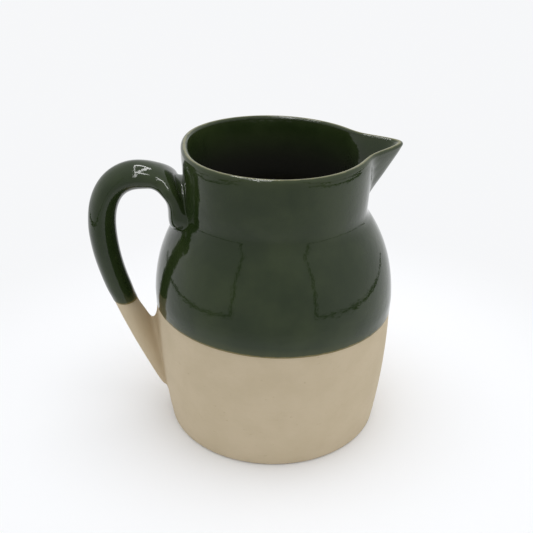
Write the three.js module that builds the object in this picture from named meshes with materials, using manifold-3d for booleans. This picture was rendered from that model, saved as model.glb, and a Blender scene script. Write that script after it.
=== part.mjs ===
// A stoneware pouring jug: a turned vessel with a luted beak and strap handle, green glaze above a
// dipping line and bare clay below it. Millimetres, +Z up, the vessel's axis on Z, its resting face
// at z = 0, the spout along +X and the handle along -X.
import * as THREE from 'three';
import { mergeVertices } from 'three/addons/utils/BufferGeometryUtils.js';
import Module from 'manifold-3d';

const wasm = await Module();
wasm.setup();

// Vessel: radii and heights of the clay's outer face, and its wall.
const footRadius = 62.7;
const heel = 2.4;
const bellyRadius = 68.4;
const bellyHeight = 72;
const neckRadius = 51.4;
const neckHeight = 131.5;
const rimRadius = 53.2;
const rimHeight = 169.2;
const wall = 4.2;
const floorThickness = 6.5;
const floorFillet = 12;

// Vessel: how far each curve of the side holds its direction.
const footFlare = 3.6;
const footRise = 21.6;
const bellyLow = 26;
const bellyHigh = 20;
const shoulderAngle = 34.6;
const shoulderRun = 26.7;
const crease = 4;

// The rim sits a little lower at the spout than at the handle, and the beak's lip lifts again by a share.
const rimDip = 1.25;
const beakLift = 0.25;

// The neck is pressed in above the handle: how far, over what angle to each side, and how much of the
// straight neck the press takes to come in.
const pressDepth = 2.9;
const pressAngle = 20;
const pressShare = 0.58;

// Spout: how much of the straight neck the beak takes up, how far it stands out from the rim, its wall,
// the half angle of its plan, the rounding of its tip and the fillet where its flanks leave the neck.
const spoutShare = 0.953;
const spoutReach = 18;
const spoutWall = 3.4;
const spoutAngle = 35;
const spoutTip = 4;
const spoutFillet = 3.5;

// Handle: where its centre line stands on the neck, arches over, reaches out and runs into the belly.
// The arch stands a share of the way from the neck's foot to the rim, and the strap holds to the neck
// for a share of its climb to the arch.
const rootDrop = 15.5;
const rootHold = 0.85;
const archOut = 22.7;
const archShare = 0.623;
const archBack = 15.2;
const archFore = 13.9;
const reachOut = 27.5;
const reachDrop = 7.1;
const reachUp = 18.4;
const reachDown = 29.6;
const pullOut = 11.7;
const pullDrop = 14;
const tailSink = 7.3;
const tailHeight = 10.8;

// Handle: thickness and width of the strap at its root, bend, arch, grip, lower stretch and tail, and the
// power that squares its section at the root and along the rest.
const rootThickness = 13;
const bendThickness = 9.6;
const archThickness = 12.9;
const gripThickness = 13.5;
const lowThickness = 12;
const tailThickness = 15.4;
const rootWidth = 37;
const bendWidth = 24.5;
const archWidth = 20.5;
const gripWidth = 19;
const lowWidth = 18;
const tailWidth = 19;
const rootSquare = 0.7;
const strapSquare = 0.9;

// Glaze: thickness of the coat, height of the dipping line on the axis and its fall towards the spout.
const coat = 0.5;
const glazeHeight = 76.6;
const glazeDip = 2.2;

// Seams: the slip between luted pieces, and between a coat and what it covers.
const seam = 0.3;

// Fineness of the facets: columns round the axis, across the spout's span in degrees and over the
// rest, steps along each stretch of the wall and of the handle, and sides of the strap.
const spoutSpan = 36;
const spoutColumns = 9;
const restColumns = 30;
const wallSteps = { heel: 2, side: 4, shoulder: 6, crease: 2, neck: 1, beak: 3, lip: 4, floor: 3 };
const handleSteps = [8, 8, 11];
const strapSides = 16;

const degrees = Math.PI / 180;
const lip = wall / 2;
const spoutDrop = spoutShare * (rimHeight - neckHeight - crease);
const spoutRoot = rimHeight - spoutDrop;

// The wall in section, from the heel up the outside, over the lip and down the inside to the axis.
function wallOutline() {
  const lean = shoulderAngle * degrees;
  const path = new THREE.Path();
  path.moveTo(footRadius - heel, 0);
  path.quadraticCurveTo(footRadius, 0, footRadius, heel);
  path.bezierCurveTo(
    footRadius + footFlare, heel + footRise,
    bellyRadius, bellyHeight - bellyLow,
    bellyRadius, bellyHeight,
  );
  path.bezierCurveTo(
    bellyRadius, bellyHeight + bellyHigh,
    neckRadius + shoulderRun * Math.sin(lean), neckHeight - shoulderRun * Math.cos(lean),
    neckRadius + crease * Math.sin(lean), neckHeight - crease * Math.cos(lean),
  );
  path.quadraticCurveTo(neckRadius, neckHeight, neckRadius, neckHeight + crease);
  path.lineTo(neckRadius, spoutRoot);
  path.lineTo(rimRadius, rimHeight - lip);
  path.absarc(rimRadius - lip, rimHeight - lip, lip, 0, Math.PI, false);
  const steps = Object.values(wallSteps);
  const outside = [];
  path.curves.forEach((curve, i) => {
    const points = curve.getPoints(steps[i]);
    outside.push(...(i === 0 ? points : points.slice(1)));
  });
  const lipStart = outside.length - 1 - wallSteps.lip;
  const lipEnd = outside.length - 1;
  const inside = offset(outside.slice(0, lipStart), -wall).reverse();
  inside.unshift(new THREE.Vector2(rimRadius - wall, rimHeight - lip - seam));
  const floorTop = floorThickness + floorFillet;
  const side = inside.filter((p) => p.y > floorTop + floorFillet / 2);
  const low = inside.find((p) => p.y <= floorTop) ?? side.at(-1);
  const corner = new THREE.QuadraticBezierCurve(
    new THREE.Vector2(low.x, floorTop),
    new THREE.Vector2(low.x - (floorFillet * footFlare) / footRise, floorThickness),
    new THREE.Vector2(low.x - floorFillet, floorThickness),
  );
  const floor = [...corner.getPoints(wallSteps.floor), new THREE.Vector2(0, floorThickness)];
  return { points: [...outside, ...side, ...floor], lipStart, lipEnd };
}

// A line of points moved sideways by a distance, away from the clay when the distance is positive.
function offset(points, distance) {
  return points.map((p, i) => {
    const before = points[Math.max(i - 1, 0)];
    const after = points[Math.min(i + 1, points.length - 1)];
    const along = after.clone().sub(before).normalize();
    return new THREE.Vector2(p.x + along.y * distance, p.y - along.x * distance);
  });
}

const outline = wallOutline();

// Part of the wall's outline, raised by a distance from the clay.
function raised(distance, from, to) {
  return offset(outline.points, distance).slice(from, to).map((p) => ({ r: p.x, z: p.y }));
}

// Angles round the axis, closer together across the spout.
function turnAngles() {
  const across = [];
  for (let i = -spoutColumns; i <= spoutColumns; i += 1) {
    const share = Math.pow(Math.abs(i) / spoutColumns, 4 / 3);
    across.push(Math.sign(i) * spoutSpan * share * degrees);
  }
  const rest = [];
  for (let i = 1; i < restColumns; i += 1) {
    rest.push((spoutSpan + ((360 - 2 * spoutSpan) * i) / restColumns) * degrees);
  }
  return [...across, ...rest];
}
const angles = turnAngles();

// The larger of two values, with a fillet of the given size where they meet.
function filletMax(a, b, size) {
  const near = size > 0 ? Math.max(size - Math.abs(a - b), 0) / size : 0;
  return Math.max(a, b) + (near * near * size) / 4;
}

// Radius of the beak's straight flank at an angle from the spout's line, blunted at its keel. The keel
// runs straight from the neck to the tip.
function flank(point, angle) {
  const half = spoutAngle * degrees;
  const blunt = spoutTip / (rimRadius + spoutReach);
  const rise = (point.z - spoutRoot) / spoutDrop;
  const face = neckRadius + (rimRadius - neckRadius) * rise;
  const depth = ((face - point.r) * spoutWall) / (wall * Math.sin(half));
  const keel = neckRadius + (rimRadius + spoutReach - neckRadius) * rise - depth;
  return (keel * Math.sin(half + blunt)) / Math.sin(half + Math.hypot(angle, blunt));
}

// The radius of a wall point, with the neck pressed in above the handle.
function pressedIn(point, angle) {
  const foot = neckHeight + crease;
  const climb = THREE.MathUtils.smoothstep(point.z, foot, foot + pressShare * (rimHeight - foot));
  const off = (Math.abs(angle) - Math.PI) / (pressAngle * degrees);
  return point.r * (1 - (pressDepth / neckRadius) * climb * Math.exp((-off * off) / 2));
}

// The radius of a wall point, drawn out along the beak.
function drawnOut(point, angle) {
  const radius = pressedIn(point, angle);
  const rise = (point.z - spoutRoot) / spoutDrop;
  if (rise <= 0 || Math.abs(angle) > spoutSpan * degrees) return radius;
  return filletMax(radius, flank(point, angle), spoutFillet * Math.min(2 * rise, 1));
}

// A point of the turned form in space, with the rim's dip towards the spout.
function placed(radius, angle, z) {
  const x = radius * Math.cos(angle);
  const share = Math.max((z - neckHeight) / (rimHeight - neckHeight), 0);
  const out = x / rimRadius;
  const dip = rimDip * out * (1 - beakLift * Math.max(out, 0) ** 2);
  return [x, radius * Math.sin(angle), z - dip * share];
}

// A closed solid from a closed section carried round the axis.
function turned(section, radiusAt) {
  const positions = [];
  const at = angles.map((angle) => section.map((p) => placed(radiusAt(p, angle), angle, p.z)));
  for (let i = 0; i < angles.length; i += 1) {
    const here = at[i];
    const next = at[(i + 1) % angles.length];
    for (let j = 0; j < section.length; j += 1) {
      const k = (j + 1) % section.length;
      positions.push(...facets(here[j], next[j], next[k], here[k]));
    }
  }
  return toSolid(positions);
}

// A four-cornered patch as two triangles, parted along its shorter diagonal, so that a face and the
// coat over it fold the same way.
function facets(a, b, c, d) {
  const span = (p, q) => Math.hypot(p[0] - q[0], p[1] - q[1], p[2] - q[2]);
  if (span(a, c) <= span(b, d)) return [...a, ...b, ...c, ...a, ...c, ...d];
  return [...a, ...b, ...d, ...b, ...c, ...d];
}

// A solid for cutting and joining, from the corners of its triangles.
function toSolid(positions) {
  const geometry = new THREE.BufferGeometry();
  geometry.setAttribute('position', new THREE.Float32BufferAttribute(positions, 3));
  return geometrySolid(geometry);
}

function geometrySolid(geometry) {
  geometry.deleteAttribute('normal');
  geometry.deleteAttribute('uv');
  const merged = mergeVertices(geometry, 1e-4);
  const index = merged.index.array;
  const triangles = [];
  for (let i = 0; i < index.length; i += 3) {
    const [a, b, c] = [index[i], index[i + 1], index[i + 2]];
    if (a !== b && b !== c && c !== a) triangles.push(a, b, c);
  }
  return new wasm.Manifold(new wasm.Mesh({
    numProp: 3,
    vertProperties: new Float32Array(merged.attributes.position.array),
    triVerts: new Uint32Array(triangles),
  }));
}

// A full blank of the vessel, grown by a distance, for cutting what is luted on to its outside.
function vesselBlank(grow) {
  const side = raised(grow, 0, outline.lipStart + 1);
  const top = rimHeight + spoutDrop;
  const section = [
    { r: 0, z: -heel },
    { r: side[0].r, z: -heel },
    ...side,
    { r: rimRadius + grow, z: top },
    { r: 0, z: top },
  ];
  return turned(section, pressedIn);
}

// The handle's centre line: up the neck and over the arch, down to the grip, and in to the belly.
function handleLine() {
  const point = (radius, z) => new THREE.Vector3(-radius, 0, z);
  const rootZ = neckHeight - rootDrop;
  const archR = neckRadius + archOut;
  const archZ = neckHeight + archShare * (rimHeight - neckHeight);
  const rootRise = rootHold * (archZ - rootZ);
  const gripR = bellyRadius + reachOut;
  const gripZ = neckHeight - reachDrop;
  return [
    new THREE.CubicBezierCurve3(
      point(neckRadius, rootZ), point(neckRadius, rootZ + rootRise),
      point(archR - archBack, archZ), point(archR, archZ),
    ),
    new THREE.CubicBezierCurve3(
      point(archR, archZ), point(archR + archFore, archZ),
      point(gripR, gripZ + reachUp), point(gripR, gripZ),
    ),
    new THREE.CubicBezierCurve3(
      point(gripR, gripZ), point(gripR, gripZ - reachDown),
      point(bellyRadius + pullOut, bellyHeight - pullDrop), point(footRadius - tailSink, tailHeight),
    ),
  ];
}

// A size along the handle, eased between its stations.
function eased(sizes, u) {
  const stations = [0, 0.65, 1, 2, 2.45, 3];
  let i = 0;
  while (i < stations.length - 2 && u > stations[i + 1]) i += 1;
  const t = THREE.MathUtils.smoothstep(u, stations[i], stations[i + 1]);
  return THREE.MathUtils.lerp(sizes[i], sizes[i + 1], t);
}

// A sine or cosine pushed out by a power, so that an oval drawn with it is slightly squared.
function squared(value, power) {
  return Math.sign(value) * Math.pow(Math.abs(value), power);
}

// The strap: a rounded section carried along the centre line, grown by a distance.
function strap(grow) {
  const curves = handleLine();
  const thicknesses = [
    rootThickness, bendThickness, archThickness, gripThickness, lowThickness, tailThickness,
  ];
  const widths = [rootWidth, bendWidth, archWidth, gripWidth, lowWidth, tailWidth];
  const powers = widths.map((width, i) => (i === 0 ? rootSquare : strapSquare));
  const rings = [];
  curves.forEach((curve, c) => {
    for (let i = c === 0 ? 0 : 1; i <= handleSteps[c]; i += 1) {
      const t = i / handleSteps[c];
      const centre = curve.getPoint(t);
      const along = curve.getTangent(t);
      const out = new THREE.Vector3(-along.z, 0, along.x);
      const u = c + t;
      const half = eased(thicknesses, u) / 2 + grow;
      const wide = eased(widths, u) / 2 + grow;
      const power = eased(powers, u);
      const ring = [];
      for (let s = 0; s < strapSides; s += 1) {
        const a = (2 * Math.PI * s) / strapSides;
        const x = half * squared(Math.cos(a), power);
        ring.push([centre.x + out.x * x, wide * squared(Math.sin(a), power), centre.z + out.z * x]);
      }
      rings.push({ ring, centre: centre.toArray() });
    }
  });
  const positions = [];
  for (let i = 0; i < rings.length - 1; i += 1) {
    for (let s = 0; s < strapSides; s += 1) {
      const k = (s + 1) % strapSides;
      const [a, b] = [rings[i].ring, rings[i + 1].ring];
      positions.push(...a[s], ...b[s], ...b[k], ...a[s], ...b[k], ...a[k]);
    }
  }
  const [first, final] = [rings[0], rings.at(-1)];
  for (let s = 0; s < strapSides; s += 1) {
    const k = (s + 1) % strapSides;
    positions.push(...first.centre, ...first.ring[s], ...first.ring[k]);
    positions.push(...final.centre, ...final.ring[k], ...final.ring[s]);
  }
  return toSolid(positions);
}

// Everything below the dipping line, which falls slightly towards the spout.
function belowLine() {
  const span = 4 * (bellyRadius + reachOut);
  const box = new THREE.BoxGeometry(span, span, span);
  box.translate(0, 0, -span / 2);
  box.rotateY(Math.atan(glazeDip / bellyRadius));
  box.translate(0, 0, glazeHeight);
  return geometrySolid(box);
}

// A coat over part of the outline, one seam clear of the clay.
function coatSection(from, to) {
  const outer = raised(seam + coat, from, to);
  const inner = raised(seam, from, to).reverse();
  return [...outer, ...inner];
}

// The whole wall with the beak drawn out of its neck; the neck's own face then parts it in two.
function drawnVessel() {
  const section = [{ r: 0, z: 0 }, ...raised(0, 0, outline.points.length)];
  return turned(section, drawnOut);
}

function outerGlaze() {
  const lowest = glazeHeight - 2 * glazeDip - heel;
  const from = Math.max(outline.points.findIndex((p) => p.y > lowest) - 1, 0);
  const shell = turned(coatSection(from, outline.lipEnd + 1), drawnOut);
  return shell.subtract(belowLine()).subtract(strap(seam + coat + seam));
}

function linerGlaze() {
  const section = coatSection(outline.lipEnd + 1, outline.points.length);
  return turned(section, drawnOut);
}

function handleGlaze() {
  return strap(seam + coat).subtract(strap(seam)).subtract(vesselBlank(seam)).subtract(belowLine());
}

const clay = new THREE.MeshStandardMaterial({ color: 0xb9a987, roughness: 0.85, metalness: 0 });
const glaze = new THREE.MeshStandardMaterial({ color: 0x27331f, roughness: 0.12, metalness: 0 });

// A named mesh from a finished solid.
function piece(name, solid, material) {
  const mesh = solid.getMesh();
  const geometry = new THREE.BufferGeometry();
  geometry.setAttribute('position', new THREE.BufferAttribute(new Float32Array(mesh.vertProperties), 3));
  geometry.setIndex(new THREE.BufferAttribute(new Uint32Array(mesh.triVerts), 1));
  geometry.computeVertexNormals();
  const result = new THREE.Mesh(geometry, material);
  result.name = name;
  return result;
}

const jug = new THREE.Group();
jug.name = 'jug';
jug.add(piece('body', drawnVessel().intersect(vesselBlank(0)), clay));
jug.add(piece('spout', drawnVessel().subtract(vesselBlank(seam)), clay));
jug.add(piece('handle', strap(0).subtract(vesselBlank(seam)), clay));
jug.add(piece('outer_glaze', outerGlaze(), glaze));
jug.add(piece('liner_glaze', linerGlaze(), glaze));
jug.add(piece('handle_glaze', handleGlaze(), glaze));

export default jug;
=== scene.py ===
# %% [markdown]
# # A two-tone stoneware jug
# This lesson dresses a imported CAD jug. The CAD pieces give the sizes and the frame, in metres, with the
# vessel's axis on Z, the spout along +X and the handle along -X. Here each of them gets a smooth stand-in
# with the fillets, the glaze and the clay grain of the real thing.

import math

import bmesh
import bpy
import numpy as np
from mathutils import Matrix, Vector


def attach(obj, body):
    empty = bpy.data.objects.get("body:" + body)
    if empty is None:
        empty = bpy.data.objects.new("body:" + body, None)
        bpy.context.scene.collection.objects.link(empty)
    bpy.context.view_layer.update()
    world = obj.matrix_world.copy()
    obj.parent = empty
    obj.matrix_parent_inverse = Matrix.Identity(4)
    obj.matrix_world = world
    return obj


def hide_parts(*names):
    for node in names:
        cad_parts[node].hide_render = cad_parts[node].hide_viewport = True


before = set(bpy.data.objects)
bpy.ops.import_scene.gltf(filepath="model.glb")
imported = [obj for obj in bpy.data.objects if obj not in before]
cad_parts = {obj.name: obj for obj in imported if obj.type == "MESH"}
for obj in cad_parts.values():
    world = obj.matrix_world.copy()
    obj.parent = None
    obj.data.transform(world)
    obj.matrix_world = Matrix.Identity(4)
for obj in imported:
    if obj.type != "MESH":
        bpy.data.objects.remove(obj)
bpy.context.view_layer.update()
print("CAD nodes", sorted(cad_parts))

# %% [markdown]
# Every operator works on what is selected, so two small helpers come first. One makes an object the only
# selected and active one, the other adds a modifier and applies it at once, as one would by hand.

# %% Helpers
MM = 0.001


def only(obj):
    """Leaves edit mode and makes obj the one selected, active object."""
    if bpy.context.mode != "OBJECT":
        bpy.ops.object.mode_set(mode="OBJECT")
    bpy.ops.object.select_all(action="DESELECT")
    obj.select_set(True)
    bpy.context.view_layer.objects.active = obj


def apply_modifier(obj, kind, **settings):
    """Adds one modifier to obj and applies it."""
    only(obj)
    modifier = obj.modifiers.new(kind.lower(), kind)
    for name, value in settings.items():
        setattr(modifier, name, value)
    bpy.ops.object.modifier_apply(modifier=modifier.name)


def points_of(obj):
    """The object's vertices as an array, in millimetres."""
    flat = np.empty(len(obj.data.vertices) * 3)
    obj.data.vertices.foreach_get("co", flat)
    return flat.reshape(-1, 3) / MM


def move_points(obj, points):
    """Puts the object's vertices at these places, given in millimetres."""
    obj.data.vertices.foreach_set("co", (points * MM).ravel())
    obj.data.update()


# %% [markdown]
# The wall's outline in section is the one that the CAD part has: a rounded heel, two long curves up to the
# shoulder, a crease, the straight neck and a half-round lip. The wall thins towards the lip. The outline is
# sampled finely here, so that the radius can be read off at any height.

# %% The wall in section
FOOT, HEEL = 62.7, 2.4
BELLY, BELLY_Z = 68.4, 72.0
NECK, NECK_Z = 51.4, 131.5
RIM, RIM_Z = 53.2, 169.2
WALL, LIP_WALL, FLOOR = 4.2, 2.8, 6.5
CREASE, LEAN = 4.0, math.radians(34.6)
FOOT_OUT, FOOT_UP = 3.6, 21.6
BELLY_DOWN, BELLY_UP, SHOULDER_RUN = 26, 20, 26.7
LIP = LIP_WALL / 2


def bezier(corners, count):
    """Points along a Bezier curve with these corners."""
    t = np.linspace(0, 1, count)[:, None]
    layer = [np.array(corner, float)[None, :] * np.ones_like(t) for corner in corners]
    while len(layer) > 1:
        layer = [a * (1 - t) + b * t for a, b in zip(layer, layer[1:])]
    return layer[0]


def down_shoulder(run):
    """A point of the shoulder's straight lower line, a run away from the crease."""
    return NECK + run * math.sin(LEAN), NECK_Z - run * math.cos(LEAN)


heel_corners = [(FOOT - HEEL, 0), (FOOT, 0), (FOOT, HEEL)]
side = np.vstack([
    bezier(heel_corners, 20),
    bezier([(FOOT, HEEL), (FOOT + FOOT_OUT, HEEL + FOOT_UP),
            (BELLY, BELLY_Z - BELLY_DOWN), (BELLY, BELLY_Z)], 200)[1:],
    bezier([(BELLY, BELLY_Z), (BELLY, BELLY_Z + BELLY_UP),
            down_shoulder(SHOULDER_RUN), down_shoulder(CREASE)], 200)[1:],
    bezier([down_shoulder(CREASE), (NECK, NECK_Z), (NECK, NECK_Z + CREASE)], 40)[1:],
    bezier([(NECK, NECK_Z + CREASE), (RIM, RIM_Z - LIP)], 60)[1:],
])
along = np.gradient(side, axis=0)
along /= np.linalg.norm(along, axis=1)[:, None]
thinned = np.clip((side[:, 1] - NECK_Z) / (RIM_Z - LIP - NECK_Z), 0, 1)
thickness = WALL + (LIP_WALL - WALL) * thinned * thinned * (3 - 2 * thinned)
hollow = side + thickness[:, None] * np.column_stack([-along[:, 1], along[:, 0]])


def outer_radius(z):
    """Radius of the clay's outer face at a height."""
    return np.interp(z, side[:, 1], side[:, 0])


def inner_radius(z):
    """Radius of the clay's inner face at a height."""
    return np.interp(z, hollow[:, 1], hollow[:, 0])


print("belly radius", round(float(outer_radius(BELLY_Z)), 2), "mm, rim", RIM, "mm")

# %% [markdown]
# The form is modelled as a coarse cage for a subdivision surface, because a handle that flows into a neck
# is then one smooth skin, and its reflections run on without a seam. Rows of the cage stand closer where
# the wall turns fast: at the heel, at the crease and over the lip. Each row keeps its distance from the
# crest of the lip, which the glaze uses later.

# %% Rows of the cage
BASE_ROWS, FLOOR_ROWS = [0, 22, 44, 56], [30, 14, 0]
TAIL_ROWS = np.linspace(12, 75, 17)
ROOT_ROWS = np.array([119, 123, 126.5, 129.5, 132.2, 135.4, 142, 150, 158])
BELLY_ROWS = np.array([79.5, 85, 91, 97, 103, 108.5, 114])
NECK_ROWS = np.array([161.5, 164.5, 166.4])
INSIDE_ROWS = np.array([164.5, 161, 155, 148, 141, 136, 132.5, 129, 124, 117,
                        108, 98, 86, 73, 60, 47, 36, 27, 20])
LINER_TOP = 161
COVE_UP, COVE_BEND, COVE_IN = 12.0, 2, 14

heel_row = bezier(heel_corners, 4)
lip_turn = np.linspace(0, math.pi, 9)
lip_row = np.column_stack([RIM - LIP + LIP * np.cos(lip_turn), RIM_Z - LIP + LIP * np.sin(lip_turn)])
heights = np.concatenate([[6], TAIL_ROWS, BELLY_ROWS, ROOT_ROWS, NECK_ROWS])
cove = inner_radius(FLOOR + COVE_UP)
cove_row = bezier([(cove, FLOOR + COVE_UP), (cove - COVE_BEND, FLOOR), (cove - COVE_IN, FLOOR)], 6)
rows = np.vstack([
    [(radius, 0) for radius in BASE_ROWS],
    heel_row,
    np.column_stack([outer_radius(heights), heights]),
    lip_row,
    np.column_stack([inner_radius(INSIDE_ROWS), INSIDE_ROWS]),
    cove_row,
    [(radius, FLOOR) for radius in FLOOR_ROWS],
])
crest = len(BASE_ROWS) + len(heel_row) + len(heights) + len(lip_row) // 2
steps = np.linalg.norm(np.diff(rows, axis=0), axis=1)
from_lip = np.concatenate([[0], np.cumsum(steps)])
from_lip = from_lip[crest] - from_lip
print("rows", len(rows))

# %% [markdown]
# A potter turns the wall on a wheel, so the cage is spun: one vertex is drawn up along the outline by
# extruding, and the outline is spun round Z. A Screw modifier would do it too, but the spin leaves plain
# rows and columns to take hold of. The columns are then drawn together at the spout and at the handle,
# where the form has most to show.

# %% Spin the vessel
COLUMNS = 64
GATHER = 0.45

bpy.ops.object.select_all(action="DESELECT")
bpy.ops.mesh.primitive_plane_add(size=0.01)
jug = bpy.context.object
jug.name = "jug_form"
bpy.ops.object.mode_set(mode="EDIT")
bpy.ops.mesh.merge(type="CENTER")
for out, up in np.diff(rows, axis=0) * MM:
    bpy.ops.mesh.extrude_vertices_move(TRANSFORM_OT_translate={"value": (out, 0, up)})
bpy.ops.mesh.select_all(action="SELECT")
bpy.ops.mesh.spin(steps=COLUMNS, angle=2 * math.pi, center=(0, 0, 0), axis=(0, 0, 1))
bpy.ops.mesh.select_all(action="SELECT")
bpy.ops.mesh.remove_doubles(threshold=1e-5)
bpy.ops.mesh.normals_make_consistent(inside=False)
bpy.ops.object.mode_set(mode="OBJECT")

cage = points_of(jug)
section = np.column_stack([np.hypot(cage[:, 0], cage[:, 1]), cage[:, 2]])
row_of = np.argmin(np.linalg.norm(section[:, None, :] - rows[None, :, :], axis=2), axis=1)
turn = np.arctan2(cage[:, 1], cage[:, 0])
turn = turn - GATHER / 2 * np.sin(2 * turn)
print("vessel cage", len(cage), "vertices")

# %% [markdown]
# The beak is drawn out of the neck as a finger would do it: every point of the wall above the beak's root
# moves out along its own radius, as far as two straight flanks that meet in a rounded tip. A separate beak
# could be modelled and joined on, but moving the wall keeps lip, wall and channel in one flow. The rim also
# sits a little lower at the spout than at the handle, and is pressed in where the handle was put on.

# %% Draw out the beak
SPOUT_ROOT = NECK_Z + CREASE + 1.6
SPOUT_REACH, SPOUT_WALL, SPOUT_TIP = 18.0, 3.4, 4.8
SPOUT_FILLET, CHANNEL_FILLET = 3.5, 6.5
SPOUT_HALF = math.radians(35)
SPOUT_SPAN = math.radians(36)
RIM_DIP, BEAK_LIFT = 1.25, 0.5
PRESS, PRESS_SPREAD, PRESS_Z = 2.9, math.radians(20), 155.0


def pressed(z, angle):
    """How far the wall is pressed in where the handle was put on."""
    off = np.abs(np.remainder(angle, 2 * math.pi) - math.pi) / PRESS_SPREAD
    share = np.clip((z - SPOUT_ROOT) / (PRESS_Z - SPOUT_ROOT), 0, 1)
    return PRESS * share * share * (3 - 2 * share) * np.exp(-off * off / 2)


def drawn_radius(radius, z, angle):
    """Radius of a wall point once the beak is drawn out and the handle's place pressed in."""
    rise = (z - SPOUT_ROOT) / (RIM_Z - SPOUT_ROOT)
    depth = (outer_radius(z) - radius) * SPOUT_WALL / (WALL * math.sin(SPOUT_HALF))
    keel = NECK + (RIM + SPOUT_REACH - NECK) * rise - depth
    blunt = SPOUT_TIP / (RIM + SPOUT_REACH)
    turned = np.minimum(np.hypot(angle, blunt), 1.0)
    flank = keel * math.sin(SPOUT_HALF + blunt) / np.sin(SPOUT_HALF + turned)
    inside = np.clip((outer_radius(z) - radius) / LIP_WALL, 0, 1)
    fillet = (SPOUT_FILLET + (CHANNEL_FILLET - SPOUT_FILLET) * inside) * np.clip(2 * rise, 1e-3, 1)
    near = np.maximum(fillet - np.abs(radius - flank), 0) / fillet
    drawn = np.maximum(radius, flank) + near * near * fillet / 4
    drawn = np.where((rise > 0) & (np.abs(angle) < SPOUT_SPAN), drawn, radius)
    return drawn - pressed(z, angle)


def place(radius, z, angle):
    """A wall point in space, with the rim's dip."""
    x, y = radius * np.cos(angle), radius * np.sin(angle)
    share = np.maximum((z - NECK_Z) / (RIM_Z - NECK_Z), 0)
    dip = RIM_DIP * x / RIM * (1 - BEAK_LIFT * np.maximum(x / RIM, 0) ** 2)
    return np.column_stack([x, y, z - dip * share])


cage = place(drawn_radius(rows[row_of, 0], rows[row_of, 1], turn), rows[row_of, 1], turn)
move_points(jug, cage)
lip_mark = jug.data.attributes.new("from_lip", "FLOAT", "POINT")
lip_mark.data.foreach_set("value", from_lip[row_of].astype(np.float32))
print("beak reaches", round(float(cage[:, 0].max()), 1), "mm")

# %% [markdown]
# The handle is a pulled strap. Its centre line is three Bezier curves: up the neck and over the arch, down
# to the grip, and in to the belly. A curve with a bevel could sweep it, but its section changes all along:
# an oval, squared at the root and lens-like at the grip, whose size eases from station to station. So each
# ring is worked out by itself. The strap has as many long lines as the openings that it will join have
# edges.

# %% The strap's lines
ROOT_Z = NECK_Z - 15.5
ARCH_R, ARCH_Z = NECK + 22.7, NECK_Z + 0.623 * (RIM_Z - NECK_Z)
GRIP_R, GRIP_Z = BELLY + 27.5, NECK_Z - 7.1
TAIL_R, TAIL_Z = FOOT - 7.3, 12.3
ROOT_HOLD, ARCH_BACK, ARCH_ON = 0.85, 15.2, 13.9
GRIP_UP, GRIP_DOWN, TAIL_OUT, TAIL_DOWN = 18.4, 29.6, 11.7, 14
ROOT_BEND_Z = ROOT_Z + ROOT_HOLD * (ARCH_Z - ROOT_Z)
CENTRE_LINE = [
    [(NECK, ROOT_Z), (NECK, ROOT_BEND_Z), (ARCH_R - ARCH_BACK, ARCH_Z), (ARCH_R, ARCH_Z)],
    [(ARCH_R, ARCH_Z), (ARCH_R + ARCH_ON, ARCH_Z), (GRIP_R, GRIP_Z + GRIP_UP), (GRIP_R, GRIP_Z)],
    [(GRIP_R, GRIP_Z), (GRIP_R, GRIP_Z - GRIP_DOWN),
     (BELLY + TAIL_OUT, BELLY_Z - TAIL_DOWN), (TAIL_R, TAIL_Z)],
]
STATIONS = [0, 0.5, 0.8, 1, 2, 2.45, 3]
THICKNESS = [13.6, 9.2, 11.8, 14.2, 13.8, 12.2, 15.4]
WIDTH = [40.0, 35.0, 22.0, 20.5, 19.0, 18.0, 19.0]
SQUARE = [0.75, 0.75, 1.0, 1.15, 1.15, 1.05, 0.95]
SIDES, ROOT_FREE, TAIL_FREE = 48, 0.8, 2.4
line_angle = 2 * math.pi * np.arange(SIDES) / SIDES


def eased(sizes, u):
    """A size of the strap, eased between its stations."""
    i = min(max(np.searchsorted(STATIONS, u) - 1, 0), len(STATIONS) - 2)
    t = (u - STATIONS[i]) / (STATIONS[i + 1] - STATIONS[i])
    t = t * t * (3 - 2 * t)
    return sizes[i] + (sizes[i + 1] - sizes[i]) * t


def squared(value, u):
    """A sine or cosine to a power: below 1 it squares the oval drawn with it, above 1 it thins its edges."""
    return math.copysign(abs(value) ** eased(SQUARE, u), value)


def strap_point(angle, u):
    """A point of the strap: angle 0 faces the finger gap, and u runs from the neck to the tail."""
    i = min(int(u), 2)
    t = u - i
    a, b, c, d = (np.array(corner) for corner in CENTRE_LINE[i])
    centre = a * (1 - t) ** 3 + 3 * b * t * (1 - t) ** 2 + 3 * c * t * t * (1 - t) + d * t ** 3
    run = (b - a) * (1 - t) ** 2 + 2 * (c - b) * t * (1 - t) + (d - c) * t * t
    run = run / np.linalg.norm(run)
    inward = np.array([run[1], -run[0]])
    radius, z = centre + inward * eased(THICKNESS, u) / 2 * squared(math.cos(angle), u)
    return np.array([-radius, eased(WIDTH, u) / 2 * squared(math.sin(angle), u), z])


print("strap lines", SIDES, "grip", eased(THICKNESS, 2), "mm thick and", eased(WIDTH, 2), "mm wide")

# %% [markdown]
# Each long line of the strap is followed until it comes within a fillet's size of the vessel, where the
# slip would begin. At the root the fillet is widest on top, towards the lip, and at the tail in the finger
# gap. The root also has a rounded lower end, blunt as a thumb leaves it, and its lines stop there at the
# latest.

# %% Where the strap meets the wall
ROOT_FILLETS, TAIL_FILLETS = (1.2, 1.2, 4.2), (6.0, 1.5, 2.9)
ROOT_END, ROOT_ROUND = 125.5, 9.3
HALVINGS = 40
CLIMB_STEPS = 200


def wall_at(point):
    """Radius of the vessel's side behind a point."""
    return float(outer_radius(point[2]) - pressed(point[2], math.atan2(point[1], point[0])))


def clearance(point):
    """How far a point stands out from the vessel's side."""
    return math.hypot(point[0], point[1]) - wall_at(point)


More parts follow.
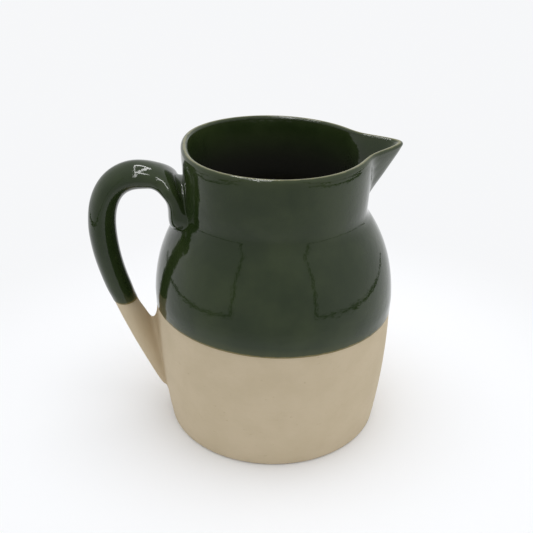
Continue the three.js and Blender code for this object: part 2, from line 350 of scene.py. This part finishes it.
def meeting(angle, clear, buried, gap):
    """Where a long line of the strap comes within a gap of the vessel."""
    for _ in range(HALVINGS):
        middle = (clear + buried) / 2
        if clearance(strap_point(angle, middle)) > gap:
            clear = middle
        else:
            buried = middle
    return clear


def fillet_at(angle, fillets):
    """Size of the slip fillet round a strap's end: at the gap, at the sides and on the outer face."""
    at_gap, at_sides, at_back = fillets
    lean = math.cos(angle)
    return at_sides + ((at_gap if lean > 0 else at_back) - at_sides) * lean * lean


def height_reached(angle, z):
    """Where a long line of the strap, climbing the neck, comes to a height."""
    climb = np.linspace(0, ROOT_FREE, CLIMB_STEPS)
    return float(np.interp(z, [strap_point(angle, u)[2] for u in climb], climb))


root_u = []
for a in line_angle:
    lowest = ROOT_END + ROOT_ROUND * (1 - math.cos(a))
    meets = meeting(a, ROOT_FREE, 0.0, fillet_at(a, ROOT_FILLETS))
    root_u.append(max(meets, height_reached(a, lowest)))
tail_u = [meeting(a, TAIL_FREE, 3.0, fillet_at(a, TAIL_FILLETS)) for a in line_angle]
print("root lines start by", round(max(root_u), 2), "and tail lines end from", round(min(tail_u), 2))

# %% [markdown]
# Now the rings that the strap is drawn through. The first and the last lie on the wall, the others run over
# the arch and down the grip. The root flares a little where it is smeared on. Under the tail a thin web of
# slip fills the corner of the finger gap.

# %% Rings of the strap
ROOT_SEATED, ROOT_FLARE = 0.7, 1.2
ROOT_STEPS = [0.06, 0.26, 0.46, 0.64, 0.82, 1.0]
FREE_STATIONS = [0.9, 1.05, 1.2, 1.35, 1.5, 1.65, 1.8, 1.95, 2.05, 2.14, 2.23, 2.32]
TAIL_STEPS = [0.0, 0.2, 0.4, 0.6, 0.8, 1.0]
WEB_IN, WEB_OUT, WEB_UP = 2.2, 0.5, 1.5


def on_wall(point, out=0.0, up=0.0):
    """The point of the vessel's side straight in from the strap, or a little out and up from there."""
    point = point + np.array([0, 0, up])
    return np.array([-math.sqrt((wall_at(point) + out) ** 2 - point[1] ** 2), point[1], point[2]])


web = np.maximum(np.cos(line_angle), 0) ** 2
ends = [strap_point(a, u) for a, u in zip(line_angle, root_u)]
flares = [ROOT_FLARE * np.array([0, math.sin(a), -math.cos(a)]) for a in line_angle]
rings = [[on_wall(end + flare) for end, flare in zip(ends, flares)],
         [(1 - ROOT_SEATED) * end + ROOT_SEATED * on_wall(end) for end in ends]]
for share in ROOT_STEPS:
    rings.append([strap_point(a, u + share * (ROOT_FREE - u)) for a, u in zip(line_angle, root_u)])
for station in FREE_STATIONS:
    rings.append([strap_point(a, station) for a in line_angle])
for share in TAIL_STEPS:
    ring = [strap_point(a, TAIL_FREE + share * (u - TAIL_FREE)) for a, u in zip(line_angle, tail_u)]
    rings.append(np.array(ring) + np.outer(WEB_IN * web * share ** 3, (1, 0, 0)))
rings.append([on_wall(strap_point(a, u), WEB_OUT * w, WEB_UP * w)
              for a, u, w in zip(line_angle, tail_u, web)])
rings = np.array(rings)
print("strap rings", len(rings), "root", rings[0][:, 2].min().round(1), "to", rings[0][:, 2].max().round(1),
      "tail", rings[-1][:, 2].min().round(1), "to", rings[-1][:, 2].max().round(1))

# %% [markdown]
# The strap starts as a circle and is extruded ring by ring into a plain tube. Its points are then moved to
# their places on the rings. A mark far above any distance from the lip tells the strap from the wall.

# %% Pull the strap
RING_STEP = 10.0
STRAP_MARK = 500.0

bpy.ops.object.select_all(action="DESELECT")
bpy.ops.mesh.primitive_circle_add(vertices=SIDES, radius=RING_STEP * MM)
strap = bpy.context.object
strap.name = "strap_form"
bpy.ops.object.mode_set(mode="EDIT")
for _ in rings[1:]:
    bpy.ops.mesh.extrude_edges_move(TRANSFORM_OT_translate={"value": (0, 0, RING_STEP * MM)})
bpy.ops.object.mode_set(mode="OBJECT")
start = points_of(strap)
ring_of = np.rint(start[:, 2] / RING_STEP).astype(int)
line_of = np.rint(np.arctan2(start[:, 1], start[:, 0]) / (2 * math.pi / SIDES)).astype(int) % SIDES
move_points(strap, rings[ring_of, line_of])
mark = strap.data.attributes.new("from_lip", "FLOAT", "POINT")
mark.data.foreach_set("value", np.full(len(start), STRAP_MARK, np.float32))
print("strap cage", len(start), "vertices")

# %% [markdown]
# Now the strap is joined on, as slip joins the real one. A block of faces is taken out of the neck and
# another out of the belly, each with as many edges as the strap has lines, and the open loops are bridged.
# A boolean would leave a hard seam there, and the bridge becomes a soft fillet.

# %% Join the strap to the vessel
ROOT_HALF, TAIL_HALF = 8, 4
BETWEEN_ENDS = 90

only(strap)
jug.select_set(True)
bpy.context.view_layer.objects.active = jug
bpy.ops.object.join()

gathered = 2 * math.pi * np.arange(ROOT_HALF + 1) / COLUMNS
gathered = gathered - GATHER / 2 * np.sin(2 * gathered)


def in_opening(centre, low, high, half):
    """Whether a face lies in the block of faces that a handle end covers."""
    back = abs(math.atan2(centre.y, -centre.x))
    return back < gathered[half] and low < centre.z / MM < high


bpy.ops.object.mode_set(mode="EDIT")
bpy.ops.mesh.select_all(action="DESELECT")
mesh = bmesh.from_edit_mesh(jug.data)
layer = mesh.verts.layers.float["from_lip"]
for face in mesh.faces:
    if all(0 < v[layer] < STRAP_MARK for v in face.verts):
        centre = face.calc_center_median()
        face.select = (in_opening(centre, ROOT_ROWS[0], ROOT_ROWS[-1], ROOT_HALF)
                       or in_opening(centre, TAIL_ROWS[0], TAIL_ROWS[-1], TAIL_HALF))
print("faces taken out", sum(f.select for f in mesh.faces))
bmesh.update_edit_mesh(jug.data)
bpy.ops.mesh.delete(type="FACE")
for above in (True, False):
    bpy.ops.mesh.select_all(action="DESELECT")
    mesh = bmesh.from_edit_mesh(jug.data)
    for edge in mesh.edges:
        middle = (edge.verts[0].co.z + edge.verts[1].co.z) / 2 / MM
        edge.select = edge.is_boundary and (middle > BETWEEN_ENDS) == above
    print("open edges", sum(e.select for e in mesh.edges))
    bmesh.update_edit_mesh(jug.data)
    bpy.ops.mesh.bridge_edge_loops()
bpy.ops.mesh.select_all(action="SELECT")
bpy.ops.mesh.normals_make_consistent(inside=False)
bpy.ops.object.mode_set(mode="OBJECT")

# %% [markdown]
# A subdivision surface shrinks away from its cage, most of all round tight turns. The cage is therefore
# pushed out until the smooth surface passes through the measured points again. The loops where the strap
# meets the wall are left as they are, because there the shrinking makes the fillet, and so are the flat
# middles of base and floor, which don't shrink.

# %% Push the cage out
PUSHES = 10
FLAT_MIDDLE = 30

mesh = bmesh.new()
mesh.from_mesh(jug.data)
mesh.verts.ensure_lookup_table()
layer = mesh.verts.layers.float["from_lip"]
goal = np.array([v.co for v in mesh.verts])
is_strap = np.array([v[layer] >= STRAP_MARK for v in mesh.verts])
joint = np.array([s and any(not is_strap[e.other_vert(v).index] for e in v.link_edges)
                  for v, s in zip(mesh.verts, is_strap)])
edge_ends = np.array([[e.verts[0].index, e.verts[1].index] for e in mesh.edges])
face_corners = [[v.index for v in f.verts] for f in mesh.faces]
quads = np.array([corners for corners in face_corners if len(corners) == 4])
count = np.zeros(len(goal))
np.add.at(count, edge_ends.ravel(), 1)


def smooth_places(points):
    """Where the subdivision surface puts each vertex of the cage."""
    near = np.zeros_like(points)
    np.add.at(near, edge_ends[:, 0], points[edge_ends[:, 1]])
    np.add.at(near, edge_ends[:, 1], points[edge_ends[:, 0]])
    far = np.zeros_like(points)
    for i in range(4):
        np.add.at(far, quads[:, i], points[quads[:, (i + 2) % 4]])
    n = count[:, None]
    return (n * n * points + 4 * near + far) / (n * (n + 5))


free = ~joint & (np.hypot(goal[:, 0], goal[:, 1]) > FLAT_MIDDLE * MM)
pushed = goal.copy()
for _ in range(PUSHES):
    pushed[free] += (goal - smooth_places(pushed))[free]
for vertex, place_now in zip(mesh.verts, pushed):
    vertex.co = place_now
print("most pushed", round(float(np.abs(pushed - goal).max() / MM), 2), "mm")

# %% [markdown]
# Before the cage is subdivided, each of its faces gets a slot that says what it belongs to: the outside of
# the vessel, the strap, or the inside below the lip, where the liner glaze goes. The finer faces keep it.

# %% Slots, then subdivide
LEVELS = 2
OUTSIDE, STRAP, INSIDE = 0, 1, 2

inner_row = np.arange(len(rows)) >= crest
liner_row = np.argmin(np.where(inner_row, np.abs(rows[:, 1] - LINER_TOP), np.inf))
liner_from = float(from_lip[liner_row])
for face in mesh.faces:
    marks = [v[layer] for v in face.verts]
    if all(is_strap[v.index] for v in face.verts):
        face.material_index = STRAP
    elif max(marks) <= liner_from + 1e-3:
        face.material_index = INSIDE
    face.smooth = True
mesh.to_mesh(jug.data)
mesh.free()
for _ in (OUTSIDE, STRAP, INSIDE):
    jug.data.materials.append(None)
apply_modifier(jug, "SUBSURF", levels=LEVELS, render_levels=LEVELS)
print("form", len(jug.data.polygons), "faces")

# %% [markdown]
# The glaze lies over the clay as a thin coat. A copy of the form is swelled along its normals, less over
# the lip and near the dipping line, where the wet glaze ran thin. The copy stays whole for now, because the
# pieces that are cut from it take their normals from it.

# %% Swell a copy for the glaze
COAT, COAT_SKIN = 0.8, 0.3
DIP_Z, DIP_SLOPE = 76.6, 0.0322
DIP_EDGE, DIP_RUN = 0.45, 9.0
LIP_EDGE, LIP_RUN = 0.5, 7.0

only(jug)
bpy.ops.object.duplicate()
coat_form = bpy.context.object
coat_form.name = "coat_form"
spots = points_of(coat_form)
marks = np.empty(len(spots), np.float32)
coat_form.data.attributes["from_lip"].data.foreach_get("value", marks)
above_dip = spots[:, 2] - DIP_Z + DIP_SLOPE * spots[:, 0]
share = np.clip(above_dip / DIP_RUN, 0, 1)
share = DIP_EDGE + (1 - DIP_EDGE) * share * share * (3 - 2 * share)
share[marks < 0] = 1
lip_share = np.clip(np.abs(marks) / LIP_RUN, 0, 1)
share *= LIP_EDGE + (1 - LIP_EDGE) * lip_share * lip_share * (3 - 2 * lip_share)
group = coat_form.vertex_groups.new(name="coat")
for i, weight in enumerate(share):
    group.add([i], float(weight), "REPLACE")
apply_modifier(coat_form, "DISPLACE", strength=COAT * MM, mid_level=0, vertex_group="coat")
print("coat swelled, lip marks from", round(float(marks.min())), "to", round(float(marks.max())))

# %% [markdown]
# The pieces are now cut out of the two forms by the slots that the cage's faces were given: the vessel's
# outside, its inside and the strap. A piece that is cut loose loses the neighbours that made its edge
# smooth, so a Data Transfer modifier gives it the normals of the whole form back.

# %% Cutting pieces
def cut_out(form, name, slots):
    """A copy of the form that keeps only the faces in these slots."""
    only(form)
    bpy.ops.object.duplicate()
    piece = bpy.context.object
    piece.name = name
    piece.data.name = name
    bpy.ops.object.mode_set(mode="EDIT")
    bpy.ops.mesh.select_mode(type="FACE")
    bpy.ops.mesh.select_all(action="DESELECT")
    faces = bmesh.from_edit_mesh(piece.data)
    for face in faces.faces:
        face.select_set(face.material_index not in slots)
    bmesh.update_edit_mesh(piece.data)
    bpy.ops.mesh.delete(type="FACE")
    bpy.ops.mesh.select_mode(type="VERT")
    bpy.ops.object.mode_set(mode="OBJECT")
    return piece


def take_normals(piece, form, hidden):
    """Gives the piece's skin the form's normals; the group names what isn't skin."""
    apply_modifier(
        piece, "DATA_TRANSFER", object=form, use_loop_data=True, data_types_loops={"CUSTOM_NORMAL"},
        loop_mapping="POLYINTERP_NEAREST", vertex_group=hidden, invert_vertex_group=True)


def coat_piece(name, slots, dipped):
    """A thin closed shell of glaze, cut at the dipping line if it was dipped."""
    piece = cut_out(coat_form, name, slots)
    if dipped:
        bpy.ops.object.mode_set(mode="EDIT")
        bpy.ops.mesh.select_all(action="SELECT")
        bpy.ops.mesh.bisect(plane_co=(0, 0, DIP_Z * MM), plane_no=(DIP_SLOPE, 0, 1), clear_inner=True)
        bpy.ops.object.mode_set(mode="OBJECT")
    piece.vertex_groups.new(name="under")
    apply_modifier(piece, "SOLIDIFY", thickness=COAT_SKIN * MM, offset=-1, shell_vertex_group="under")
    take_normals(piece, coat_form, "under")
    print(name, len(piece.data.polygons), "faces")
    return piece


outer_coat = coat_piece("outer_coat", {OUTSIDE}, True)
handle_coat = coat_piece("handle_coat", {STRAP}, True)
liner_coat = coat_piece("liner_coat", {INSIDE}, False)

# %% [markdown]
# The clay is cut from the first form. Where slip holds the strap, the vessel gets a shallow seat and the
# strap a plug that sits in it, so both pieces are closed. Each is made by extruding the open edge inwards
# and drawing the last ring together.

# %% Clay pieces
SEAT_DEPTH, PLUG_DEPTH = 1.6, 1.3


def close_joints(piece, depth):
    """Closes the piece's two open loops with a cap, sunk into the wall."""
    piece.vertex_groups.new(name="under")
    before = len(piece.data.vertices)
    bpy.ops.object.mode_set(mode="EDIT")
    for above in (True, False):
        bpy.ops.mesh.select_all(action="DESELECT")
        faces = bmesh.from_edit_mesh(piece.data)
        for edge in faces.edges:
            middle = (edge.verts[0].co.z + edge.verts[1].co.z) / 2 / MM
            edge.select_set(edge.is_boundary and (middle > BETWEEN_ENDS) == above)
        bmesh.update_edit_mesh(piece.data)
        bpy.ops.mesh.extrude_edges_move(TRANSFORM_OT_translate={"value": (depth * MM, 0, 0)})
        bpy.ops.mesh.extrude_edges_move(TRANSFORM_OT_translate={"value": (0, 0, 0)})
        bpy.ops.mesh.merge(type="CENTER")
    bpy.ops.object.mode_set(mode="OBJECT")
    piece.vertex_groups["under"].add(list(range(before, len(piece.data.vertices))), 1, "REPLACE")


def clay_piece(name, slots, depth):
    """A closed piece of clay, with a seat or a plug at each end of the strap."""
    piece = cut_out(jug, name, slots)
    close_joints(piece, depth)
    take_normals(piece, jug, "under")
    print(name, len(piece.data.polygons), "faces")
    return piece


clay_vessel = clay_piece("clay_vessel", {OUTSIDE, INSIDE}, SEAT_DEPTH)
clay_handle = clay_piece("clay_handle", {STRAP}, PLUG_DEPTH)
for form in (jug, coat_form):
    bpy.data.objects.remove(form)

# %% [markdown]
# The camera stands where the photograph was taken. Its place was fitted to the jug's outline there: it
# looks 27.6 degrees down, through a lens of 57 mm on a 36 mm sensor.

# %% Camera
CAMERA_PLACE = (-0.0496, -0.4330, 0.3228)
DOWN, TO_SIDE, ROLL = math.radians(27.6), math.radians(-6), math.radians(0.29)
SENSOR, LENS = 36, 57.02

camera_data = bpy.data.cameras.new("camera")
camera_data.sensor_width = SENSOR
camera_data.lens = LENS
camera = bpy.data.objects.new("camera", camera_data)
bpy.context.scene.collection.objects.link(camera)
heading = Matrix.Rotation(TO_SIDE, 4, "Z")
tilt = Matrix.Rotation(math.pi / 2 - DOWN, 4, "X")
roll = Matrix.Rotation(ROLL, 4, "Z")
camera.matrix_world = Matrix.Translation(CAMERA_PLACE) @ heading @ tilt @ roll
bpy.context.scene.camera = camera
bpy.context.scene.view_settings.view_transform = "Standard"
print("camera lens", LENS, "mm")

# %% [markdown]
# Fired surfaces are never even. One node group gives every material here what varies: broad clouds, fine
# grain, and a normal that the grain disturbs. A material stretches it along the marks of its making.

# %% Node group for uneven firing
def node(tree, kind, inputs=None, **settings):
    """Adds a node. Each input is a value or another node's output."""
    made = tree.nodes.new(kind)
    for name, value in settings.items():
        setattr(made, name, value)
    for name, value in (inputs or {}).items():
        if isinstance(value, bpy.types.NodeSocket):
            tree.links.new(value, made.inputs[name])
        else:
            made.inputs[name].default_value = value
    return made


firing = bpy.data.node_groups.new("uneven_firing", "ShaderNodeTree")
SOCKETS = (
    ("INPUT", "Clouds per metre", "Float"),
    ("INPUT", "Grains per metre", "Float"),
    ("INPUT", "Stretch", "Vector"),
    ("INPUT", "Depth", "Float"),
    ("OUTPUT", "Clouds", "Float"),
    ("OUTPUT", "Grain", "Float"),
    ("OUTPUT", "Normal", "Vector"),
)
for in_out, name, kind in SOCKETS:
    firing.interface.new_socket(name, in_out=in_out, socket_type="NodeSocket" + kind)
given = node(firing, "NodeGroupInput").outputs
where = node(firing, "ShaderNodeTexCoord").outputs["Object"]
clouds = node(firing, "ShaderNodeTexNoise", {
    "Vector": where, "Scale": given["Clouds per metre"], "Detail": 3.0, "Roughness": 0.55})
stretched = node(firing, "ShaderNodeVectorMath", {0: where, 1: given["Stretch"]}, operation="MULTIPLY")
grain = node(firing, "ShaderNodeTexNoise", {
    "Vector": stretched.outputs["Vector"], "Scale": given["Grains per metre"],
    "Detail": 4.0, "Roughness": 0.6})
bump = node(firing, "ShaderNodeBump", {
    "Height": grain.outputs["Fac"], "Distance": given["Depth"], "Strength": 1.0})
node(firing, "NodeGroupOutput", {
    "Clouds": clouds.outputs["Fac"], "Grain": grain.outputs["Fac"], "Normal": bump.outputs["Normal"]})
print("node group", firing.name, "with", len(firing.nodes), "nodes")

# %% [markdown]
# Glaze and clay are blends of a few colours by masks. Short helpers set up a material and write a soft
# step, a blend or a sum, so that each finish below reads as a list of what lies over what.

# %% Blends and steps
def fired_material(name, clouds_per_m, grains_per_m, stretch, depth):
    """A new material, its tree, its shader and the firing group's outputs."""
    material = bpy.data.materials.new(name)
    material.use_nodes = True
    tree = material.node_tree
    fired = node(tree, "ShaderNodeGroup", {}, node_tree=firing)
    for socket, value in zip(fired.inputs, (clouds_per_m, grains_per_m, stretch, depth)):
        socket.default_value = value
    shader = tree.nodes["Principled BSDF"]
    tree.links.new(fired.outputs["Normal"], shader.inputs["Normal"])
    return material, tree, shader, fired.outputs


def step(tree, value, low, high, start=0.0, end=1.0):
    """A soft step from start to end as a value goes from low to high."""
    made = node(tree, "ShaderNodeMapRange", {
        "Value": value, "From Min": low, "From Max": high, "To Min": start, "To Max": end},
        interpolation_type="SMOOTHSTEP")
    return made.outputs["Result"]


def blend(tree, mask, below, above):
    """One colour over another by a mask."""
    made = node(tree, "ShaderNodeMix", {0: mask}, data_type="RGBA")
    for index, colour in ((6, below), (7, above)):
        if isinstance(colour, bpy.types.NodeSocket):
            tree.links.new(colour, made.inputs[index])
        else:
            made.inputs[index].default_value = (*colour, 1)
    return made.outputs[2]


def calc(tree, operation, *values):
    """The result of one sum."""
    return node(tree, "ShaderNodeMath", dict(enumerate(values)), operation=operation).outputs[0]


def height_over_dip(tree):
    """Height of a point over the dipping plane, in metres."""
    spot = node(tree, "ShaderNodeSeparateXYZ", {0: node(tree, "ShaderNodeTexCoord").outputs["Object"]})
    slant = calc(tree, "MULTIPLY", spot.outputs["X"], DIP_SLOPE)
    return calc(tree, "SUBTRACT", calc(tree, "ADD", spot.outputs["Z"], slant), DIP_Z * MM)


# %% [markdown]
# The glaze is a glossy bottle green. It is thin over the lip and at the dipping line, where the clay below
# turns it olive and tan, and it is greyer down inside. These bands could be painted by hand. Here they are
# masks, so they stay true if a size changes: the lip's come from the distance that the cage kept, and the
# dipping line's from the height over the dipping plane.

# %% Glaze
DEEP_GREEN, SOFT_GREEN = (0.015, 0.026, 0.007), (0.025, 0.038, 0.012)
LINER_GREEN = (0.0165, 0.0165, 0.0135)
OLIVE, PALE_OLIVE, TAN = (0.06, 0.068, 0.026), (0.15, 0.146, 0.066), (0.20, 0.16, 0.06)
LINER_FADE, LIP_FADE, LIP_LINE = (-30.0, -3.0), (1.0, 6.0), (0.1, 0.85)
DIP_FADE, DIP_LINE = (0.0004, 0.0060), (0.0002, 0.0012)
UNEVEN, CLOUD_FADE = 1.2, (0.35, 0.68)
GLAZE_ROUGHNESS, GLAZE_SHEEN = (0.025, 0.06), 0.36

glaze, tree, shader, fired = fired_material(
    "green_glaze", clouds_per_m=34, grains_per_m=190, stretch=(1, 1, 1), depth=0.00012)
outward = node(tree, "ShaderNodeAttribute", attribute_name="from_lip").outputs["Fac"]
lip_way = calc(tree, "ABSOLUTE", outward)
uneven = calc(tree, "MULTIPLY", calc(tree, "SUBTRACT", fired["Grain"], 0.5), UNEVEN)
uneven_lip = calc(tree, "ADD", lip_way, uneven)
over_dip = calc(tree, "ADD", height_over_dip(tree), calc(tree, "MULTIPLY", uneven, MM))
colour = blend(tree, step(tree, fired["Clouds"], *CLOUD_FADE), DEEP_GREEN, SOFT_GREEN)
for mask, thin_colour in (
    (step(tree, outward, *LINER_FADE, 1.0, 0.0), LINER_GREEN),
    (step(tree, lip_way, *LIP_FADE, 0.15, 0.0), OLIVE),
    (step(tree, uneven_lip, *LIP_LINE, 1.0, 0.0), PALE_OLIVE),
    (step(tree, over_dip, *DIP_FADE, 0.5, 0.0), OLIVE),
    (step(tree, over_dip, *DIP_LINE, 1.0, 0.0), TAN),
):
    colour = blend(tree, mask, colour, thin_colour)
tree.links.new(colour, shader.inputs["Base Color"])
tree.links.new(step(tree, fired["Clouds"], 0.3, 0.7, *GLAZE_ROUGHNESS), shader.inputs["Roughness"])
shader.inputs["Specular IOR Level"].default_value = GLAZE_SHEEN
print("glaze nodes", len(tree.nodes))

# %% [markdown]
# The bare clay is a matt buff body. The vessel keeps faint rings from the wheel, and the strap keeps lines
# from the wet hand that pulled it. Low on the belly, where the strap meets it, a brown is painted in:
# painted shade of that corner, with a little slip stain. Both pieces carry a mark of how near that seat is.

# %% Clay
BUFF, DARK_BUFF = (0.56, 0.466, 0.322), (0.53, 0.44, 0.297)
# The brown laid on near the strap's lower seat is painted shade of that corner, with a little slip stain.
SEAT_SHADE_BROWN, SPECK = (0.37, 0.26, 0.13), (0.22, 0.15, 0.08)
SEAT_OUT, SEAT_HALF, SEAT_BESIDE = 12, 8, 6
SEAT_TOP, SEAT_FADE = 82, 14
SPECK_FADE, SPECK_SHARE, SEAT_SHADE_SHARE = (0.66, 0.80), 0.5, 0.4
CLAY_ROUGHNESS = (0.8, 0.92)

for piece in (clay_vessel, clay_handle):
    spots = points_of(piece)
    stands_out = np.maximum(np.hypot(spots[:, 0], spots[:, 1]) - outer_radius(spots[:, 2]), 0)
    beside = np.maximum(np.abs(spots[:, 1]) - SEAT_HALF, 0)
    # Painted shade: a mask of the corner where the strap's tail meets the belly.
    seat = np.exp(-((stands_out / SEAT_OUT) ** 2 + (beside / SEAT_BESIDE) ** 2))
    seat *= np.clip((SEAT_TOP - spots[:, 2]) / SEAT_FADE, 0, 1) * (spots[:, 0] < 0)
    mark = piece.data.attributes.new("seat_shade", "FLOAT", "POINT")
    mark.data.foreach_set("value", seat.astype(np.float32))


def clay_material(name, stretch):
    """Bare clay whose grain is stretched along the marks of its making."""
    material, tree, shader, fired = fired_material(
        name, clouds_per_m=60, grains_per_m=700, stretch=stretch, depth=0.00018)
    seat_shade = node(tree, "ShaderNodeAttribute", attribute_name="seat_shade").outputs["Fac"]
    colour = blend(tree, step(tree, fired["Clouds"], 0.3, 0.7), BUFF, DARK_BUFF)
    colour = blend(tree, step(tree, fired["Grain"], *SPECK_FADE, 0.0, SPECK_SHARE), colour, SPECK)
    # Painted shade with a little slip stain: the brown darkens the clay near the strap's lower seat.
    colour = blend(tree, calc(tree, "MULTIPLY", seat_shade, SEAT_SHADE_SHARE), colour, SEAT_SHADE_BROWN)
    tree.links.new(colour, shader.inputs["Base Color"])
    tree.links.new(step(tree, fired["Grain"], 0.3, 0.7, *CLAY_ROUGHNESS), shader.inputs["Roughness"])
    return material


turned_clay = clay_material("turned_clay", (0.35, 0.35, 1))
pulled_clay = clay_material("pulled_clay", (1, 1, 0.25))
print("clay materials", turned_clay.name, pulled_clay.name)

# %% [markdown]
# The highlights look like those of a light tent: a box of white cloth with a bent strip of lamps in its
# roof. The world is that cloth. It is brighter behind and to the right than towards the open front. One
# helper says how bright it is each way, because the floor has to fade into it.

# %% Tent
SHEET, OPEN_FRONT = (0.925, 0.932, 0.946), 0.74
FRONT_FADE, TO_RIGHT = (-0.9, 0.0), 0.35
bright_way = heading @ Vector((TO_RIGHT, 1, 0)).normalized()


def brightness(tree, way):
    """How bright the tent's cloth is in a direction."""
    toward = node(tree, "ShaderNodeVectorMath", {0: way, 1: bright_way}, operation="DOT_PRODUCT")
    return step(tree, toward.outputs["Value"], *FRONT_FADE, OPEN_FRONT, 1.0)


world = bpy.data.worlds.new("tent")
bpy.context.scene.world = world
world.use_nodes = True
tree = world.node_tree
walls = tree.nodes["Background"]
walls.inputs["Color"].default_value = (*SHEET, 1)
way = node(tree, "ShaderNodeTexCoord").outputs["Generated"]
tree.links.new(brightness(tree, way), walls.inputs["Strength"])
print("tent cloth", SHEET)

# %% [markdown]
# The floor is a white sheet. Near the jug it is plain cloth that takes the shadow. Further off it fades to
# what the tent shows in the same direction, so that no edge is seen between the two.

# %% Floor
CLOTH_FADE, DIM_FADE = (0.1, 0.28), (0.2, 0.36)
SHEET_SIZE = 8

bpy.ops.object.select_all(action="DESELECT")
bpy.ops.mesh.primitive_plane_add(size=SHEET_SIZE)
floor = bpy.context.object
floor.name = "floor"
sheet = bpy.data.materials.new("white_sheet")
sheet.use_nodes = True
tree = sheet.node_tree
cloth = tree.nodes["Principled BSDF"]
cloth.inputs["Base Color"].default_value = (*SHEET, 1)
cloth.inputs["Roughness"].default_value = 1.0
cloth.inputs["Specular IOR Level"].default_value = 0.0
spot = node(tree, "ShaderNodeTexCoord").outputs["Object"]
far_off = node(tree, "ShaderNodeVectorMath", {0: spot}, operation="LENGTH").outputs["Value"]
way = node(tree, "ShaderNodeVectorMath", {0: spot}, operation="NORMALIZE").outputs["Vector"]
strength = step(tree, far_off, *DIM_FADE, 1.0, brightness(tree, way))
even = node(tree, "ShaderNodeEmission", {"Color": (*SHEET, 1), "Strength": strength})
fade = step(tree, far_off, *CLOTH_FADE)
mixed = node(tree, "ShaderNodeMixShader", {0: fade, 1: cloth.outputs[0], 2: even.outputs[0]})
tree.links.new(mixed.outputs[0], tree.nodes["Material Output"].inputs["Surface"])
floor.data.materials.append(sheet)
print("floor", floor.name)

# %% [markdown]
# A glossy glaze shows the room. The tent's dark seams could be painted into the world, but bars that stand
# in the room slide over the glaze as they should when the camera moves. Only reflections see them.

# %% Seams of the tent
SIDE, FLARE, FRONT, BACK, ROOF = 350, 0.17, -472, 380, 640
SEAM = 20


def glow(name, colour, strength):
    """A material that shines evenly."""
    material = bpy.data.materials.new(name)
    material.use_nodes = True
    tree = material.node_tree
    light = node(tree, "ShaderNodeEmission", {"Color": colour, "Strength": strength})
    tree.links.new(light.outputs[0], tree.nodes["Material Output"].inputs["Surface"])
    return material


def bar(name, start, end, thick, material):
    """A thin bar of the tent from one point to another, in millimetres, seen only in reflections."""
    start, end = Vector(start), Vector(end)
    bpy.ops.object.select_all(action="DESELECT")
    bpy.ops.mesh.primitive_cube_add(size=1)
    made = bpy.context.object
    made.name = name
    turned_way = (end - start).to_track_quat("X", "Z").to_matrix().to_4x4()
    size = Matrix.Diagonal(((end - start).length * MM, thick * MM, 0.5 * thick * MM, 1))
    made.matrix_world = heading @ Matrix.Translation((start + end) / 2 * MM) @ turned_way @ size
    made.data.materials.append(material)
    made.visible_camera = False
    made.visible_diffuse = False
    made.visible_shadow = False
    made.visible_transmission = False


seam_grey = glow("seam_grey", (0.01, 0.01, 0.01, 1), 1.0)
for name, way in (("seam_left", -1), ("seam_right", 1)):
    foot = Vector((way * SIDE, FRONT, SEAM / 2))
    bar(name + "_post", foot, foot + Vector((0, 0, ROOF)), SEAM, seam_grey)
    backwards = Vector((way * FLARE, 1, 0)) * (BACK - FRONT)
    bar(name + "_floor", foot, foot + backwards, SEAM, seam_grey)
print("seams in", seam_grey.name)

# %% [markdown]
# The highlight on the handle is a bent line, so the lamps in the roof are a strip with the same bends, made
# of bars too. The bars light nothing: two soft lamps give the light that falls from the roof, and the
# glaze doesn't show those.

# %% Lamps
STRIP_LIGHT = 16.0
STRIPS = (
    ("front_left", (-158, -550), (-125, -160), 15),
    ("left", (-135, -160), (-144, 210), 15),
    ("back", (-144, 210), (-64, 250), 50),
    ("corner", (-64, 250), (17, 225), 50),
    ("slant", (17, 225), (-118, -155), 30),
    ("return", (-118, -155), (-22, -192), 50),
)
LAMPS = (("lamp_left", -150), ("lamp_right", 190))
LAMP_SIZE, LAMP_WATTS = 0.4, 0.75

strip_white = glow("strip_white", (1, 1, 1, 1), STRIP_LIGHT)
for name, start, end, wide in STRIPS:
    bar("lamp_strip_" + name, (*start, ROOF), (*end, ROOF), wide, strip_white)

for name, x in LAMPS:
    lamp_data = bpy.data.lights.new(name, "AREA")
    lamp_data.size = LAMP_SIZE
    lamp_data.energy = LAMP_WATTS
    lamp = bpy.data.objects.new(name, lamp_data)
    bpy.context.scene.collection.objects.link(lamp)
    lamp.matrix_world = heading @ Matrix.Translation((x * MM, 0, ROOF * MM))
    lamp.visible_glossy = False
print("lamp strips", len(STRIPS), "soft lamps", len(LAMPS))

# %% [markdown]
# Each piece gets its finish, clay or glaze, and rides on the root body, and the CAD nodes that it stands for
# are hidden.

# %% Ride, replace, finish
PARTS = (
    (clay_vessel, turned_clay, "clay", ("body", "spout")),
    (clay_handle, pulled_clay, "clay", ("handle",)),
    (outer_coat, glaze, "glaze", ("outer_glaze",)),
    (liner_coat, glaze, "glaze", ("liner_glaze",)),
    (handle_coat, glaze, "glaze", ("handle_glaze",)),
)
for piece, material, slot, nodes_replaced in PARTS:
    piece.data.materials.clear()
    piece.data.materials.append(material)
    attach(piece, "root")
    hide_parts(*nodes_replaced)
